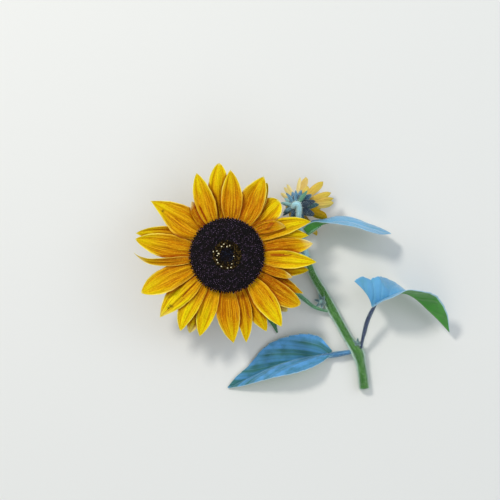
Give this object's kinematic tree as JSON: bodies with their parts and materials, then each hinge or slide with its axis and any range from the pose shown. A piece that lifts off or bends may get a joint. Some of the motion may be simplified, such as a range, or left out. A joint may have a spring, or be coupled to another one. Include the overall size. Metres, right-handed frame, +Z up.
{
  "type": "cut sunflower top",
  "caption": "Flowering top of a branching sunflower, as cut, lying on its back: an open bloom face up, a small nodding bloom, stem, leaves and young shoots.",
  "frame": {"origin": "middle of the underside of the whole, on the surface that it lies on", "axes": "+Z up, the way the open bloom faces; +X from the bloom towards the right-hand leaf; +Y towards the small bloom, away from the cut end"},
  "size_m": [0.2566, 0.1844, 0.0453],
  "materials": {
    "petal": "matt, grooved lengthwise",
    "disk": "velvety, of small florets",
    "bract": "hairy",
    "stem": "bristly",
    "leaf": "rough, with a sky sheen",
    "shoot": "hairy"
  },
  "bodies": {
    "root": {"main_stem": "stem", "side_stalk": "stem", "bloom_stalk": "stem", "main_bloom_disk": "disk", "main_bloom_calyx": "bract", "ray_petal_01": "petal", "ray_petal_02": "petal", "ray_petal_03": "petal", "ray_petal_04": "petal", "ray_petal_05": "petal", "ray_petal_06": "petal", "ray_petal_07": "petal", "ray_petal_08": "petal", "ray_petal_09": "petal", "ray_petal_10": "petal", "ray_petal_11": "petal", "ray_petal_12": "petal", "ray_petal_13": "petal", "ray_petal_14": "petal", "ray_petal_15": "petal", "ray_petal_16": "petal", "ray_petal_17": "petal", "ray_petal_18": "petal", "ray_petal_19": "petal", "ray_petal_20": "petal", "ray_petal_21": "petal", "ray_petal_22": "petal", "ray_petal_23": "petal", "ray_petal_24": "petal", "ray_petal_25": "petal", "ray_petal_26": "petal", "ray_petal_27": "petal", "ray_petal_28": "petal", "ray_petal_29": "petal", "ray_petal_30": "petal", "side_bloom_calyx": "bract", "side_bloom_rays": "petal", "side_bloom_disk": "disk", "leaf_lower_left": "leaf", "leaf_right": "leaf", "leaf_upper_right": "leaf", "leaf_behind_bloom": "leaf", "shoot_middle": "shoot", "shoot_lower": "shoot"}
  },
  "joints": []
}
